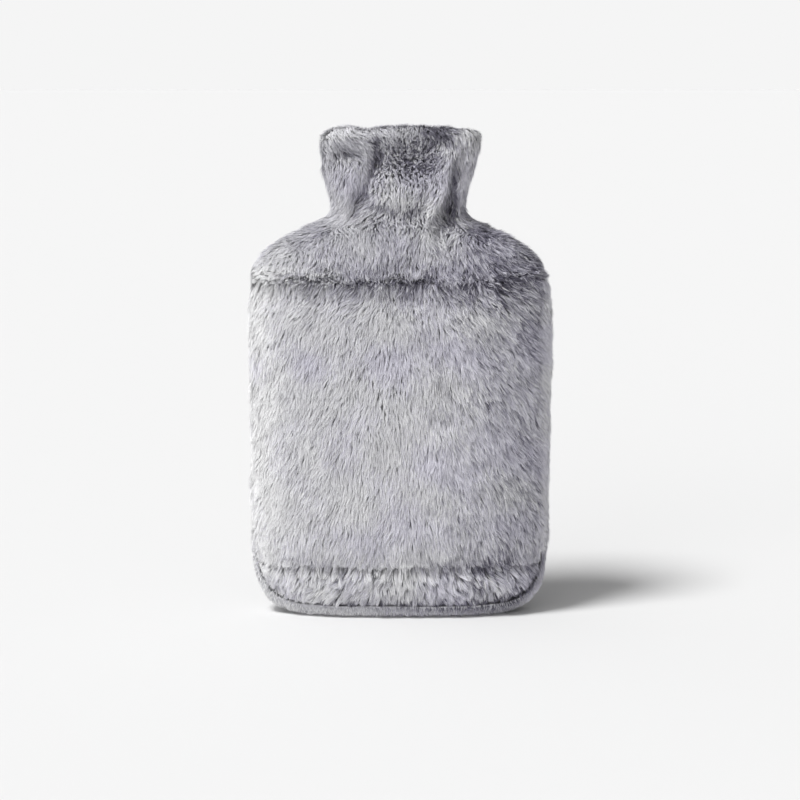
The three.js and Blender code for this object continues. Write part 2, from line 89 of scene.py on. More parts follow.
def gusset_curve():
    """The right half of the gusset's seam, from the middle to its tip, as x and z."""
    t = np.linspace(1, 0, 13)
    x, z = (
        (1 - t) ** 2 * tip + 2 * t * (1 - t) * corner + t**2 * floor
        for tip, corner, floor in zip(GUSSET_TIP, GUSSET_CORNER, GUSSET_FLOOR)
    )
    return np.append(0, x), np.append(GUSSET_FLOOR[1], z)


GUSSET_X, GUSSET_Z = gusset_curve()


def gusset_seam_height(x):
    return np.interp(np.abs(x), GUSSET_X, GUSSET_Z)


def along_line(x, z, x0, z0, x1, z1):
    """The share of a line's length at which it comes nearest to each place."""
    dx, dz = x1 - x0, z1 - z0
    return np.clip(((x - x0) * dx + (z - z0) * dz) / (dx * dx + dz * dz), 0, 1)


def distance_to_line(x, z, x0, z0, x1, z1):
    t = along_line(x, z, x0, z0, x1, z1)
    return np.hypot(x - x0 - t * (x1 - x0), z - z0 - t * (z1 - z0))


def distance_to_gusset_seam(x, z):
    ends = zip(GUSSET_X[:-1], GUSSET_Z[:-1], GUSSET_X[1:], GUSSET_Z[1:])
    return np.min([distance_to_line(np.abs(x), z, *e) for e in ends], axis=0)


def smoothstep(v, low, high):
    t = np.clip((v - low) / (high - low), 0, 1)
    return t * t * (3 - 2 * t)


def bell(v, width):
    """1 where v is 0, and next to nothing two widths away."""
    return np.exp(-((v / width) ** 2))


def stretches(table, x):
    """The sum of a table's bells, by their middle, reach and height."""
    return sum(height * bell(x - middle, reach) for middle, reach, height in table)


def dot(u, v):
    return (u * v).sum(axis=-1)


def unit(v):
    return v / np.maximum(np.linalg.norm(v, axis=-1, keepdims=True), 1e-9)


# ---------------------------------------------------------------- the skin, measured on the frame
ROW_STEP = 2.0
FIRST_ROW = 1.5
LIP_START = 331.0  # the cloth turns over from here
COLUMNS = 264
LIP_ROWS = 9
INSIDE_ROWS = 8
END_RADIUS = 27.0  # of the ovals that the measuring rays are aimed at
RAY_START = 60.0  # how far from an oval's spine they start
SIDE_RAY_START = 200.0
BESIDE_SEAM = (-1.2, 1.2)  # y of the side rays, which would slip into the seam's gap at 0
SKIN_BLUR = 1.3  # in rows and columns
MOUTH_SPINE = 0.62  # how long the spine that the lip turns towards is, by the mouth's width
LIP_RADIUS = 5.2
LIP_RISE = 1.25 * LIP_RADIUS
LIP_THICKENING = 0.7  # for each row down inside the mouth
RIM_LOBES = [
    # x, reach, rise
    (-24, 6, -2.0),
    (8, 16, 0.9),
    (40, 6, -1.6),
    (-54, 7, -4.4),
    (52, 6, -3.2),
]


def frame_tree():
    vertices, faces = [], []
    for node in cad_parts.values():
        first = len(vertices)
        vertices += [node.matrix_world @ v.co for v in node.data.vertices]
        faces += [[first + i for i in p.vertices] for p in node.data.polygons]
    return BVHTree.FromPolygons(vertices, faces)


def blurred(values, spread):
    """Gaussian blur over rows, which end, and columns, which go round."""
    reach = int(3 * spread) + 1
    weights = np.exp(-0.5 * (np.arange(-reach, reach + 1) / spread) ** 2)
    weights /= weights.sum()
    rows = np.pad(values, ((reach, reach), (0, 0)), mode="reflect", reflect_type="odd")
    rows = sum(w * rows[k : k + len(values)] for k, w in enumerate(weights))
    return sum(w * np.roll(rows, k - reach, axis=1) for k, w in enumerate(weights))


def oval_point(a, left, right, straight):
    """Where a place a along an oval lies: its nearest point on the spine, as x, and the turn of the
    way out, in radians. left, right and straight are the spine's ends and length, and the oval is
    gone round from its left tip, along the front first."""
    arc = math.pi * END_RADIUS
    if a < arc / 2:
        return left, math.pi + a / END_RADIUS
    if a < arc / 2 + straight:
        return left + a - arc / 2, 1.5 * math.pi
    if a < 1.5 * arc + straight:
        return right, 1.5 * math.pi + (a - arc / 2 - straight) / END_RADIUS
    if a < 1.5 * arc + 2 * straight:
        return right - (a - 1.5 * arc - straight), 0.5 * math.pi
    return left, math.pi + (a - 2 * (straight + arc)) / END_RADIUS


def measure_outside():
    """Points on the solids' outside: a row for each height, and columns that run round from the left
    side seam along the front to the right one and back along the back."""
    tree = frame_tree()

    def hit(origin, direction):
        place, _, _, distance = tree.ray_cast(Vector(origin) * MM, Vector(direction))
        return None if place is None else distance / MM

    def half_width(side, z):
        hits = [hit((side * SIDE_RAY_START, y, z), (-side, 0, 0)) for y in BESIDE_SEAM]
        return SIDE_RAY_START - min(d for d in hits if d)

    heights = np.arange(FIRST_ROW, LIP_START + 0.1, ROW_STEP)
    share = (np.arange(COLUMNS) + 0.5) / COLUMNS
    origins = np.zeros((len(heights), COLUMNS, 3))
    inwards = np.zeros_like(origins)
    found = np.full((len(heights), COLUMNS), np.nan)
    for i, z in enumerate(heights):
        to_left, to_right = half_width(-1, z), half_width(1, z)
        straight = to_left + to_right - 2 * END_RADIUS
        left, right = -to_left + END_RADIUS, to_right - END_RADIUS
        for j, a in enumerate(share * 2 * (straight + math.pi * END_RADIUS)):
            centre, turn = oval_point(a, left, right, straight)
            out = np.array([math.cos(turn), math.sin(turn), 0.0])
            origins[i, j] = np.array([centre, 0, z]) + RAY_START * out
            inwards[i, j] = -out
            found[i, j] = hit(origins[i, j], -out) or np.nan
    found = np.where(np.isnan(found), np.nanmean(found), found)
    around = [np.roll(found, k, axis=1) for k in (-2, -1, 0, 1, 2)]
    around += [np.vstack([found[:1], found[:-1]]), np.vstack([found[1:], found[-1:]])]
    found = blurred(np.median(around, axis=0), SKIN_BLUR)
    return origins + inwards * found[..., None]


def add_lip(outside):
    """The outside's rows, then rows that turn over the rim and run down inside the mouth."""
    below = outside[-1]
    middle = np.array([below[:, 0].mean(), 0, 0])
    spine = below * [MOUTH_SPINE, 0, 0] + middle * (1 - MOUTH_SPINE)
    inwards = unit((spine - below) * [1, 1, 0])
    rows = []
    for k in range(1, LIP_ROWS + 1):
        turn = math.pi * k / LIP_ROWS
        step = inwards * LIP_RADIUS * (1 - math.cos(turn))
        rows.append(below + step + [0, 0, LIP_RISE * math.sin(turn)])
    for k in range(1, INSIDE_ROWS + 1):
        rows.append(outside[-1 - k] + inwards * (2 * LIP_RADIUS + LIP_THICKENING * k))
    rim = np.array(rows)
    lift = stretches(RIM_LOBES, rim[..., 0])
    rim[..., 2] += lift * smoothstep(rim[..., 2], LIP_START - 4, LIP_START + 4)
    return np.concatenate([outside, rim])


class Skin:
    """The outside of the pile as a grid. Row and column places are floats."""

    def __init__(self, points):
        self.points = points
        self.rows = len(points)
        self.last_row = self.rows - 1.001  # a little inside the last cell
        wrapped = np.concatenate([points[:, -1:], points, points[:, :1]], axis=1)
        across = wrapped[:, 2:] - wrapped[:, :-2]
        up = np.gradient(points, axis=0)
        self.by_row, self.by_column = up, across / 2
        self.normals = unit(np.cross(across, up))
        hanging = unit(self.normals * self.normals[..., 2:] - [0, 0, 1])
        over_rim = smoothstep(np.arange(self.rows), row_of(LIP_START - 8), row_of(LIP_START + 4))
        over_rim = over_rim[:, None, None]
        self.down = unit(hanging * (1 - over_rim) - unit(up) * over_rim)
        corner = points[:-1], np.roll(points, -1, axis=1)[:-1], points[1:]
        self.areas = np.linalg.norm(np.cross(corner[1] - corner[0], corner[2] - corner[0]), axis=-1)

    def blend(self, grid, row, column):
        """A grid's value between its points."""
        row = np.clip(row, 0, self.last_row)
        i, j = np.floor(row).astype(int), np.floor(column).astype(int)
        fi, fj = (row - i)[..., None], (column - j)[..., None]
        j, k = j % COLUMNS, (j + 1) % COLUMNS
        low = grid[i, j] * (1 - fj) + grid[i, k] * fj
        high = grid[i + 1, j] * (1 - fj) + grid[i + 1, k] * fj
        return low * (1 - fi) + high * fi

    def at(self, row, column):
        """Places and outward normals."""
        return self.blend(self.points, row, column), unit(self.blend(self.normals, row, column))

    def down_at(self, row, column):
        """The ways down the cloth, which lead up inside the mouth and out over its rim."""
        return unit(self.blend(self.down, row, column))

    def pace(self, row, column, along):
        """The rows and columns that a millimetre along the cloth leads over."""
        by_row = self.blend(self.by_row, row, column)
        by_column = self.blend(self.by_column, row, column)
        a, b, c = (dot(u, v) for u, v in ((by_row,) * 2, (by_row, by_column), (by_column,) * 2))
        p, q = dot(along, by_row), dot(along, by_column)
        whole = np.maximum(a * c - b * b, 1e-6)
        return (p * c - q * b) / whole, (q * a - p * b) / whole

    def scatter(self, count, weight, rng):
        """count even random places, by area times a weight for each cell."""
        total = np.cumsum((self.areas * weight).ravel())
        at = (np.arange(count) + rng.random(count)) / count * total[-1]
        cell = np.minimum(np.searchsorted(total, at), total.size - 1)
        row, column = np.unravel_index(cell, self.areas.shape)
        return row + rng.random(count), column + rng.random(count)


def row_of(z):
    return (z - FIRST_ROW) / ROW_STEP


skin = Skin(add_lip(measure_outside()))

# ---------------------------------------------------------------- how the pile lies
PLACES_AT_ONCE = 20000  # so that the table of COMB's weights stays small

# Front, by place (x, z). angle is the way the pile lies, in degrees from straight down, and is
# positive towards +X. lift is 0 for pile that lies flat and 1 for pile that stands straight out.
# shade is lighter above 0 and darker below. Besides the pile's tone it holds painted light and
# shade:
# lighter on the left, which faces the light, and darker towards the right and in the neck's hollow.
# reach is how far a row's say goes.
COMB = [
    # x, z, angle, lift, shade, reach
    # body
    (-95, 200, -12, 0.25, 0.12, 26),
    (-65, 196, -20, 0.25, 0.10, 24),
    (-30, 190, -10, 0.28, 0.13, 24),
    (5, 190, 0, 0.30, 0.14, 24),
    (45, 190, 20, 0.28, 0.05, 24),
    (78, 192, 38, 0.28, -0.06, 22),
    (98, 195, 34, 0.28, -0.10, 20),
    (-90, 140, -8, 0.25, 0.16, 28),
    (-55, 140, -16, 0.25, 0.15, 28),
    (-15, 140, -8, 0.28, 0.20, 28),
    (25, 140, 6, 0.28, 0.19, 28),
    (62, 140, 26, 0.28, 0.03, 26),
    (95, 140, 34, 0.28, -0.04, 22),
    (-90, 85, -10, 0.25, 0.18, 26),
    (-55, 90, -20, 0.25, 0.17, 26),
    (-15, 90, -9, 0.28, 0.21, 26),
    (25, 90, 4, 0.28, 0.19, 26),
    (60, 85, 20, 0.28, 0.04, 24),
    (93, 85, 24, 0.28, -0.02, 22),
    (-85, 52, -12, 0.25, 0.15, 18),
    (-50, 50, -14, 0.28, 0.15, 18),
    (-10, 50, -6, 0.28, 0.13, 18),
    (30, 50, 10, 0.28, 0.10, 18),
    (60, 50, 14, 0.28, -0.04, 18),
    (88, 50, 18, 0.28, -0.06, 16),
    # under the hem
    (-90, 219, -20, 0.35, 0.06, 12),
    (-60, 217, -55, 0.40, 0.09, 12),
    (-35, 217, -48, 0.40, 0.14, 12),
    (-10, 217, -12, 0.45, 0.14, 12),
    (15, 217, 8, 0.45, 0.14, 12),
    (38, 217, 28, 0.40, 0.11, 12),
    (58, 214, 44, 0.35, 0.00, 13),
    (80, 214, 40, 0.35, -0.12, 13),
    (98, 216, 14, 0.35, -0.14, 12),
    # foot band
    (-92, 30, -20, 0.3, 0.14, 10),
    (-74, 22, -24, 0.3, 0.24, 11),
    (-54, 22, -36, 0.3, 0.24, 11),
    (-34, 22, -38, 0.32, 0.15, 11),
    (-12, 20, -14, 0.35, 0.12, 11),
    (10, 20, 12, 0.35, 0.13, 11),
    (34, 22, 34, 0.32, 0.10, 11),
    (54, 22, 32, 0.3, 0.06, 11),
    (72, 22, 24, 0.3, 0.03, 11),
    (90, 28, 30, 0.3, -0.05, 10),
    # yoke
    (-92, 244, -14, 0.3, 0.17, 14),
    (-65, 246, -6, 0.3, 0.13, 16),
    (-35, 246, -2, 0.3, -0.05, 16),
    (0, 246, 2, 0.32, -0.08, 16),
    (30, 246, 6, 0.3, -0.07, 16),
    (55, 250, 20, 0.3, -0.12, 14),
    (78, 248, 28, 0.3, -0.16, 14),
    (94, 240, 20, 0.3, -0.20, 12),
    (-60, 262, -40, 0.3, -0.08, 12),
    (-30, 264, -10, 0.3, 0.02, 12),
    (0, 266, 0, 0.35, 0.00, 13),
    (28, 264, 6, 0.3, 0.04, 12),
    (60, 262, 36, 0.3, -0.16, 12),
    # hem, right end, combed sideways
    (62, 236, 70, 0.35, -0.14, 9),
    (80, 237, 84, 0.35, -0.20, 10),
    (94, 234, 50, 0.35, -0.18, 9),
    # neck
    (-50, 325, 55, 0.3, -0.03, 8),
    (-38, 327, 58, 0.30, -0.07, 9),
    (-24, 327, 46, 0.4, -0.05, 8),
    (-12, 322, 26, 0.45, -0.08, 8),
    (-36, 335, 55, 0.3, -0.03, 8),
    (-14, 335, 40, 0.45, -0.03, 8),
    (-50, 305, -6, 0.25, 0.02, 10),
    (-36, 302, -16, 0.25, 0.00, 9),
    (-27, 292, -28, 0.3, -0.02, 8),
    (-40, 282, -14, 0.25, 0.01, 9),
    (-12, 302, 18, 0.3, 0.16, 9),
    (-4, 290, 12, 0.3, 0.17, 9),
    (14, 296, -14, 0.35, 0.16, 9),
    (12, 286, -20, 0.35, 0.14, 8),
    (28, 300, -20, 0.3, 0.15, 8),
    (27, 284, -22, 0.25, 0.16, 8),
    (-6, 318, 30, 0.65, -0.18, 8),
    (7, 320, 10, 0.65, -0.20, 9),
    (20, 317, -30, 0.65, -0.18, 8),
    (7, 309, -5, 0.55, -0.12, 8),
    (24, 335, 20, 0.5, -0.16, 8),
    (4, 335, -20, 0.5, -0.06, 8),
    (40, 318, -16, 0.3, 0.13, 8),
    (52, 318, -6, 0.25, 0.11, 9),
    (50, 296, -8, 0.25, 0.26, 8),
    (46, 284, -10, 0.3, 0.18, 8),
]

# Tufts of the yoke along its hem, lighter, partly in painted light where they stand out, and the
# stretches under it, darker in painted shade: middle and reach in x.
HEM_TUFTS = [
    # x, reach, shade
    (-91, 6, 0.14),
    (-67, 11, 0.12),
    (-45, 4, 0.06),
    (-33, 4, 0.16),
    (-13, 5, 0.12),
    (8, 4, 0.12),
    (25, 4, 0.10),
    (34, 5, 0.14),
    (59, 4, 0.14),
]
HEM_SHADOWS = [
    # x, reach, share
    (-62, 14, 0.38),
    (-30, 9, 0.75),
    (4, 23, 0.95),
    (44, 8, 0.80),
    (72, 15, 0.95),
]
# Stretches of the band's seam that are darker in painted shade, with wisps running up from them.
BAND_SHADOWS = [
    # x, reach, share, along the band's seam
    (-62, 5, 0.7),
    (-50, 5, 0.9),
    (-38, 4, 0.6),
    (-14, 5, 0.4),
    (36, 8, 0.9),
    (54, 7, 1.0),
    (70, 9, 0.8),
]

# Creases pressed into the pile: a negative shade paints shade into them, a positive one paints light
# on a ridge beside one, and squash lowers the pile there.
CREASES = [
    # x0, z0, x1, z1, half_width_0, half_width_1, shade, squash
    (39, 310, 38, 302, 1.4, 2.8, -0.38, 0.10),
    (38, 302, 36, 287, 2.8, 4.4, -0.44, 0.10),
    (36, 287, 31, 270, 4.4, 4.8, -0.46, 0.10),
    (32, 308, 20, 268, 2.2, 2.8, 0.22, -0.05),
    (-46, 317, -28, 317, 1.6, 2.2, -0.14, 0.05),
    (-14, 327, -14, 314, 2.2, 2.8, -0.38, 0.10),
    (-14, 314, -19, 303, 2.4, 2.4, -0.36, 0.10),
    (-19, 303, -26, 288, 2.6, 2.8, -0.32, 0.10),
    (-26, 288, -30, 274, 2.6, 2.0, -0.22, 0.05),
    (-21, 282, -3, 277, 2.4, 2.4, -0.42, 0.10),
    (4, 274, 14, 281, 2.2, 2.4, -0.36, 0.10),
    (20, 331, 30, 331, 7.0, 7.0, -0.34, 0.00),
    (-68, 256, -50, 265, 4.0, 4.0, -0.12, 0.05),
    (47, 269, 60, 262, 4.0, 4.0, -0.18, 0.10),
    (-97, 183, -46, 102, 2.2, 2.2, -0.08, 0.08),
    (0, 186, 22, 186, 6.0, 6.0, -0.06, 0.03),
]


def weights_of(x, z):
    """How much each row of COMB has to say at each place."""
    table = np.array([row[:2] + row[5:] for row in COMB])
    away = ((x[:, None] - table[:, 0]) ** 2 + (z[:, None] - table[:, 1]) ** 2) / table[:, 2] ** 2
    weights = np.exp(-away) + 1e-6 / (1 + away)
    return weights / weights.sum(axis=1, keepdims=True)


def front_comb(x, z):
    """Lying angle in radians, lift and shade on the front."""
    angle, lift, shade = [], [], []
    table = np.array([row[2:5] for row in COMB])
    turn = np.radians(table[:, 0])
    for part in np.array_split(np.arange(len(x)), max(1, len(x) // PLACES_AT_ONCE)):
        weights = weights_of(x[part], z[part])
        angle.append(np.arctan2(weights @ np.sin(turn), weights @ np.cos(turn)))
        lift.append(weights @ table[:, 1])
        shade.append(weights @ table[:, 2])
    return np.concatenate(angle), np.concatenate(lift), np.concatenate(shade)


def back_comb(x, z):
    """The same for the back, which hangs plainly."""
    angle = np.radians(10) * np.sin(x / 31 + z / 47) - np.radians(12) * x / 100
    lift = 0.28 + 0.12 * smoothstep(z, 300, 335)
    return angle, lift, 0.03 * np.sin(x / 23 + 1) * np.sin(z / 37)


def creases(x, z):
    """The painted shade and light that CREASES adds to the shade, and how far it lowers the pile, as
    a share.
    """
    shade, squash = np.zeros(len(x)), np.zeros(len(x))
    for x0, z0, x1, z1, first, last, darker, lower in CREASES:
        half_width = first + (last - first) * along_line(x, z, x0, z0, x1, z1)
        mark = bell(distance_to_line(x, z, x0, z0, x1, z1), half_width)
        # creases paint shade, down to the darkest of them, and ridges add painted light
        if darker < 0:
            shade = np.minimum(shade, darker * mark)
        else:
            shade = shade + darker * mark
        squash = np.maximum(squash, lower * mark)
    return shade, squash


# ---------------------------------------------------------------- strands
STEPS = np.array((0.0, 0.5, 1.0))  # from root to tip
WIDTHS = np.array((0.8, 1.0, 0.35))  # share of a strand's width at each step
EDGE_TURN = 0.25  # how round a strand looks across
FACING_SHARE, FLAT_SHARE = 0.72, 0.28  # its normals follow the cloth's more than its own
TWIST = 0.45  # how far strands are turned about their own length, in radians
WIDTH_RANGE = (0.75, 1.25)
REACH_RANGE = (0.72, 1.15)
LOWEST_TIP = 0.3  # over the root, as a share of the pile's depth
STRAY = 0.28  # how far a tip strays, as a rule
LOWEST_PLACE = 0.3  # over what the cover stands on
BOW = 1.25  # above 1, a strand leaves its root steeply and lies down towards its tip
GATHER = 1.6  # above 1, a tuft's strands draw together towards their tips
SHOWING = 0.6  # where along its length a strand shows most
STRAND_TINT = 0.075  # how much one strand differs in shade from its neighbours
SHADE_RANGE = (0.03, 0.97)  # of the map
MAP_WIDTH = 0.004  # half a strand's width on the map
MAP_ROOT, MAP_LENGTH = 0.04, 0.92  # where its root lies in its half of the map, and its length
COOL_SHARE = 0.35  # of the strands, at x = 0
COOL_BY_X = 0.004  # what each millimetre to the right adds to it
COOL_PATCHES = 0.4  # how much it varies from place to place
LONGEST_PIECE = 62000  # strands in one piece


def noise(place, size, seed):
    """Smooth noise, mostly between -1.3 and 1.3, as a sum of waves in random directions."""
    rng = np.random.default_rng(seed)
    total = np.zeros(len(place))
    for _ in range(8):
        direction = unit(rng.normal(size=3)) * (2 * math.pi / size) * rng.uniform(0.7, 1.4)
        total += np.sin(place @ direction + rng.uniform(0, 7))
    return total / 2.6


def strand_mesh(name, paths, widths, sides, normals, shades, cool, material):
    """One mesh of tapered ribbons. paths is strand by step by xyz. The map holds a strand's shade
    across, and its length along: in the lower half for neutral strands, where cool is 0, and in
    the upper half for cool ones, where it is 1."""
    strands, steps = paths.shape[:2]
    per = 2 * steps - 1
    vertices = np.empty((strands, per, 3))
    shown = np.empty((strands, per, 3))
    uv = np.empty((strands, per, 2))
    edges = [(k, side) for k in range(steps - 1) for side in (-1, 1)] + [(steps - 1, 0)]
    for v, (k, side) in enumerate(edges):  # each step's left and right edge, then the tip
        half = sides[:, k] * (widths[:, k, None] / 2)
        vertices[:, v] = paths[:, k] + side * half
        shown[:, v] = unit(normals[:, k] + EDGE_TURN * side * sides[:, k])
        uv[:, v, 0] = shades + MAP_WIDTH * side
        uv[:, v, 1] = (cool + MAP_ROOT + MAP_LENGTH * STEPS[k]) / 2
    corners, starts = [], []
    for k in range(steps - 2):
        starts.append(len(corners))
        corners += [2 * k, 2 * k + 1, 2 * k + 3, 2 * k + 2]
    starts.append(len(corners))
    corners += [per - 3, per - 2, per - 1]
    first = np.arange(strands)[:, None] * per
    loops = (first + np.array(corners)).astype(np.int32)
    begin = (np.arange(strands)[:, None] * len(corners) + np.array(starts)).astype(np.int32)
    mesh = bpy.data.meshes.new(name)
    mesh.vertices.add(strands * per)
    mesh.vertices.foreach_set("co", (vertices * MM).astype(np.float32).ravel())
    mesh.loops.add(loops.size)
    mesh.loops.foreach_set("vertex_index", loops.ravel())
    mesh.polygons.add(begin.size)
    mesh.polygons.foreach_set("loop_start", begin.ravel())
    mesh.update(calc_edges=True)
    layer = mesh.uv_layers.new(name=UV_MAP)
    layer.uv.foreach_set("vector", uv.reshape(-1, 2)[loops.ravel()].astype(np.float32).ravel())
    mesh.normals_split_custom_set_from_vertices(shown.reshape(-1, 3).astype(np.float32))
    mesh.materials.append(material)
    return linked(name, mesh)


def linked(name, mesh):
    piece = bpy.data.objects.new(name, mesh)
    bpy.context.scene.collection.objects.link(piece)
    return piece


class Pile:
    """Strands on the skin. Each array has one entry for each strand."""

    def __init__(self, count, weight, seed, keep):
        """Scatters count roots, by a weight for each of the skin's cells, and drops those whose
        places keep turns down."""
        self.rng = np.random.default_rng(seed)
        row, column = skin.scatter(count, weight, self.rng)
        kept = keep(skin.at(row, column)[0])
        self.row, self.column = row[kept], column[kept]
        self.place, self.normal = skin.at(self.row, self.column)
        self.down = skin.down_at(self.row, self.column)
        self.x, self.y, self.z = self.place.T
        self.count = len(self.x)
        self.tufts = []
        self.width = np.full(self.count, 1.0)

    def tuft(self, tufts, seed, turn, rise, tint, pull):
        """Divides the strands among tufts, each with its own lean, height and shade, and pulls
        their tips together. turn, rise, tint and pull are numbers or one entry for each strand."""
        rng = np.random.default_rng(seed)
        seats = rng.choice(self.count, min(tufts, self.count), replace=False)
        tree = KDTree(len(seats))
        for k, s in enumerate(seats):
            tree.insert(self.place[s], k)
        tree.balance()
        own = np.array([tree.find(p)[1] for p in self.place])
        self.angle = self.angle + turn * rng.normal(0, 1, len(seats))[own]
        self.height = self.height + rise * rng.normal(0, 1, len(seats))[own]
        self.shade = self.shade + tint * rng.normal(0, 1, len(seats))[own]
        self.tufts.append((seats[own], np.broadcast_to(pull, self.count)))

    def along(self):
        """The way each strand lies on the cloth. A positive angle turns it towards the right side
        seam on the front, and on round the cover."""
        across = np.cross(self.normal, self.down)
        turn = self.angle[:, None]
        return unit(self.down * np.cos(turn) + across * np.sin(turn))

    def drop(self):
        """How far down the cloth from its root each strand shows most."""
        return SHOWING * self.reach * np.cos(self.angle)

    def grow(self, depth, jitter):
        """Works out each strand's path over the cloth, from its root, depth under the skin, to its
        tip."""
        rng = self.rng
        reach = self.reach * rng.uniform(*REACH_RANGE, self.count)
        height = self.height + rng.normal(0, jitter, self.count)
        height = np.maximum(height, LOWEST_TIP * depth)
        rows, columns = skin.pace(self.row, self.column, self.along())
        self.path = np.empty((self.count, len(STEPS), 3))
        self.outward = np.empty_like(self.path)
        for k, step in enumerate(STEPS):
            gone = reach * step**BOW
            row = self.row + rows * gone
            place, normal = skin.at(row, self.column + columns * gone)
            place[:, 2] += ROW_STEP * np.minimum(row, 0)
            over_root = height * (1 - (1 - step) ** 2)
            self.path[:, k] = place + normal * (over_root - depth)[:, None]
            self.outward[:, k] = normal
        for seats, pull in self.tufts:
            drawn = pull[:, None, None] * (STEPS**GATHER)[None, :, None]
            self.path = self.path * (1 - drawn) + self.path[seats] * drawn
        self.path += rng.normal(0, STRAY, self.path.shape) * STEPS[None, :, None]
        self.path[..., 2] = np.maximum(self.path[..., 2], LOWEST_PLACE)

    def mesh(self, name, ids, width, material):
        """Makes one piece of the strands in ids."""
        path, facing = self.path[ids], self.outward[ids]
        ahead = unit(np.gradient(path, axis=1))
        across = unit(np.cross(ahead, facing))
        face = unit(np.cross(across, ahead))
        twist = self.rng.normal(0, TWIST, len(ids))[:, None, None]
        side = across * np.cos(twist) + face * np.sin(twist)
        flat = unit(np.cross(side, ahead))
        outwards = np.sign((flat * facing).sum(axis=2, keepdims=True) + 1e-9)
        shown = unit(FACING_SHARE * facing + FLAT_SHARE * flat * outwards)
        wide = width * self.width[ids] * self.rng.uniform(*WIDTH_RANGE, len(ids))
        shades = self.shade[ids] + self.rng.normal(0, STRAND_TINT, len(ids))
        shades = np.clip(0.5 + shades, *SHADE_RANGE)
        patches = COOL_PATCHES * noise(self.place[ids], size=45, seed=18)
        share = COOL_SHARE + COOL_BY_X * self.x[ids] + patches
        cool = (self.rng.random(len(ids)) < share) * 1.0
        return strand_mesh(name, path, wide[:, None] * WIDTHS, side, shown, shades, cool, material)


# ---------------------------------------------------------------- materials
def nodes_of(name):
    material = bpy.data.materials.new(name)
    material.use_nodes = True
    tree = material.node_tree
    return material, tree, tree.nodes["Principled BSDF"]


def ramp(tree, factor, stops):
    node = tree.nodes.new("ShaderNodeValToRGB")
    node.color_ramp.elements[0].position = stops[0][0]
    node.color_ramp.elements[0].color = (*stops[0][1], 1)
    node.color_ramp.elements[1].position = stops[-1][0]
    node.color_ramp.elements[1].color = (*stops[-1][1], 1)
    for position, colour in stops[1:-1]:
        node.color_ramp.elements.new(position).color = (*colour, 1)
    tree.links.new(factor, node.inputs["Fac"])
    return node.outputs["Color"]


TINTS = [
    (0.0, (0.085, 0.080, 0.110)),
    (0.25, (0.33, 0.323, 0.378)),
    (0.5, (0.67, 0.665, 0.708)),
    (0.75, (0.84, 0.84, 0.86)),
    (1.0, (0.94, 0.94, 0.95)),
]
# darker towards the root: partly the fur's own darker roots, partly painted shade deep in the pile
ROOTS = [
    (0.02, (0.42, 0.42, 0.43)),
    (0.24, (0.78, 0.78, 0.78)),
    (0.40, (0.98, 0.98, 0.97)),
    (0.49, (1.0, 1.0, 0.99)),
    (0.51, (0.42, 0.40, 0.46)),
    (0.74, (0.75, 0.735, 0.80)),
    (0.90, (0.93, 0.92, 0.97)),
    (0.98, (0.95, 0.94, 1.0)),
]


def pile_material(name, sheen):
    """Colour by the strand's shade, which holds painted light and shade as well as tone, and darker
    towards its root.
    """
    material, tree, shader = nodes_of(name)
    place = tree.nodes.new("ShaderNodeUVMap")
    place.uv_map = UV_MAP
    split = tree.nodes.new("ShaderNodeSeparateXYZ")
    tree.links.new(place.outputs["UV"], split.inputs["Vector"])
    mix = tree.nodes.new("ShaderNodeMix")
    mix.data_type = "RGBA"
    mix.blend_type = "MULTIPLY"
    mix.inputs["Factor"].default_value = 1
    tree.links.new(ramp(tree, split.outputs["X"], TINTS), mix.inputs["A"])
    tree.links.new(ramp(tree, split.outputs["Y"], ROOTS), mix.inputs["B"])
    tree.links.new(mix.outputs["Result"], shader.inputs["Base Color"])
    shader.inputs["Roughness"].default_value = 0.62
    shader.inputs["Specular IOR Level"].default_value = 0.3
    shader.inputs["Sheen Weight"].default_value = sheen
    shader.inputs["Sheen Roughness"].default_value = 0.4
    return material


def cloth_material(name, dark, light, scale):
    """Knitted ribs of two close colours, in relief."""
    material, tree, shader = nodes_of(name)
    place = tree.nodes.new("ShaderNodeTexCoord")
    ribs = tree.nodes.new("ShaderNodeTexWave")
    ribs.inputs["Scale"].default_value = scale
    ribs.inputs["Distortion"].default_value = 1.5
    tree.links.new(place.outputs["Object"], ribs.inputs["Vector"])
    colour = ramp(tree, ribs.outputs["Fac"], [(0, dark), (1, light)])
    tree.links.new(colour, shader.inputs["Base Color"])
    shader.inputs["Roughness"].default_value = 0.95
    shader.inputs["Sheen Weight"].default_value = 0.3
    bump = tree.nodes.new("ShaderNodeBump")
    bump.inputs["Strength"].default_value = 0.4
    bump.inputs["Distance"].default_value = 0.0004
    tree.links.new(ribs.outputs["Fac"], bump.inputs["Height"])
    tree.links.new(bump.outputs["Normal"], shader.inputs["Normal"])
    return material


long_pile = pile_material("plush_pile", 0.2)
knit = cloth_material("knit_backing", (0.26, 0.255, 0.285), (0.36, 0.355, 0.39), 260)
velvet = cloth_material("velvet_ground", (0.46, 0.455, 0.49), (0.56, 0.555, 0.59), 320)

# ---------------------------------------------------------------- backing sheets
PARTS = {
    "yoke": ("front_yoke_panel", "plush_yoke"),
    "body": ("front_body_panel", "plush_body"),
    "band": ("front_foot_band", "plush_band"),
    "back": ("back_panel", "plush_back"),
    "gusset": ("bottom_gusset", "plush_gusset"),
}
FRONT = (0.0, COLUMNS / 2)
BACK = (COLUMNS / 2, float(COLUMNS))
SIDE_MARGINS = (0.1, 0.6)  # columns that a panel leaves free at its two side edges
GUSSET_DEPTHS = (1.6, 3.4)  # of the gusset's sheet under the skin: its outer face and inner face
BASE_HEIGHTS = (0.9, 2.7)  # of the same two faces under the base
BASE_EDGE = 1.2  # the height at which the sheet turns in under the base
BASE_RINGS = (0.08, 0.25, 0.55, 0.92)  # where its rings there lie, from the edge to the middle


def fitted(piece, part):
    node, slot = PARTS[part]
    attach(piece, "root")
    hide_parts(node)
    return piece


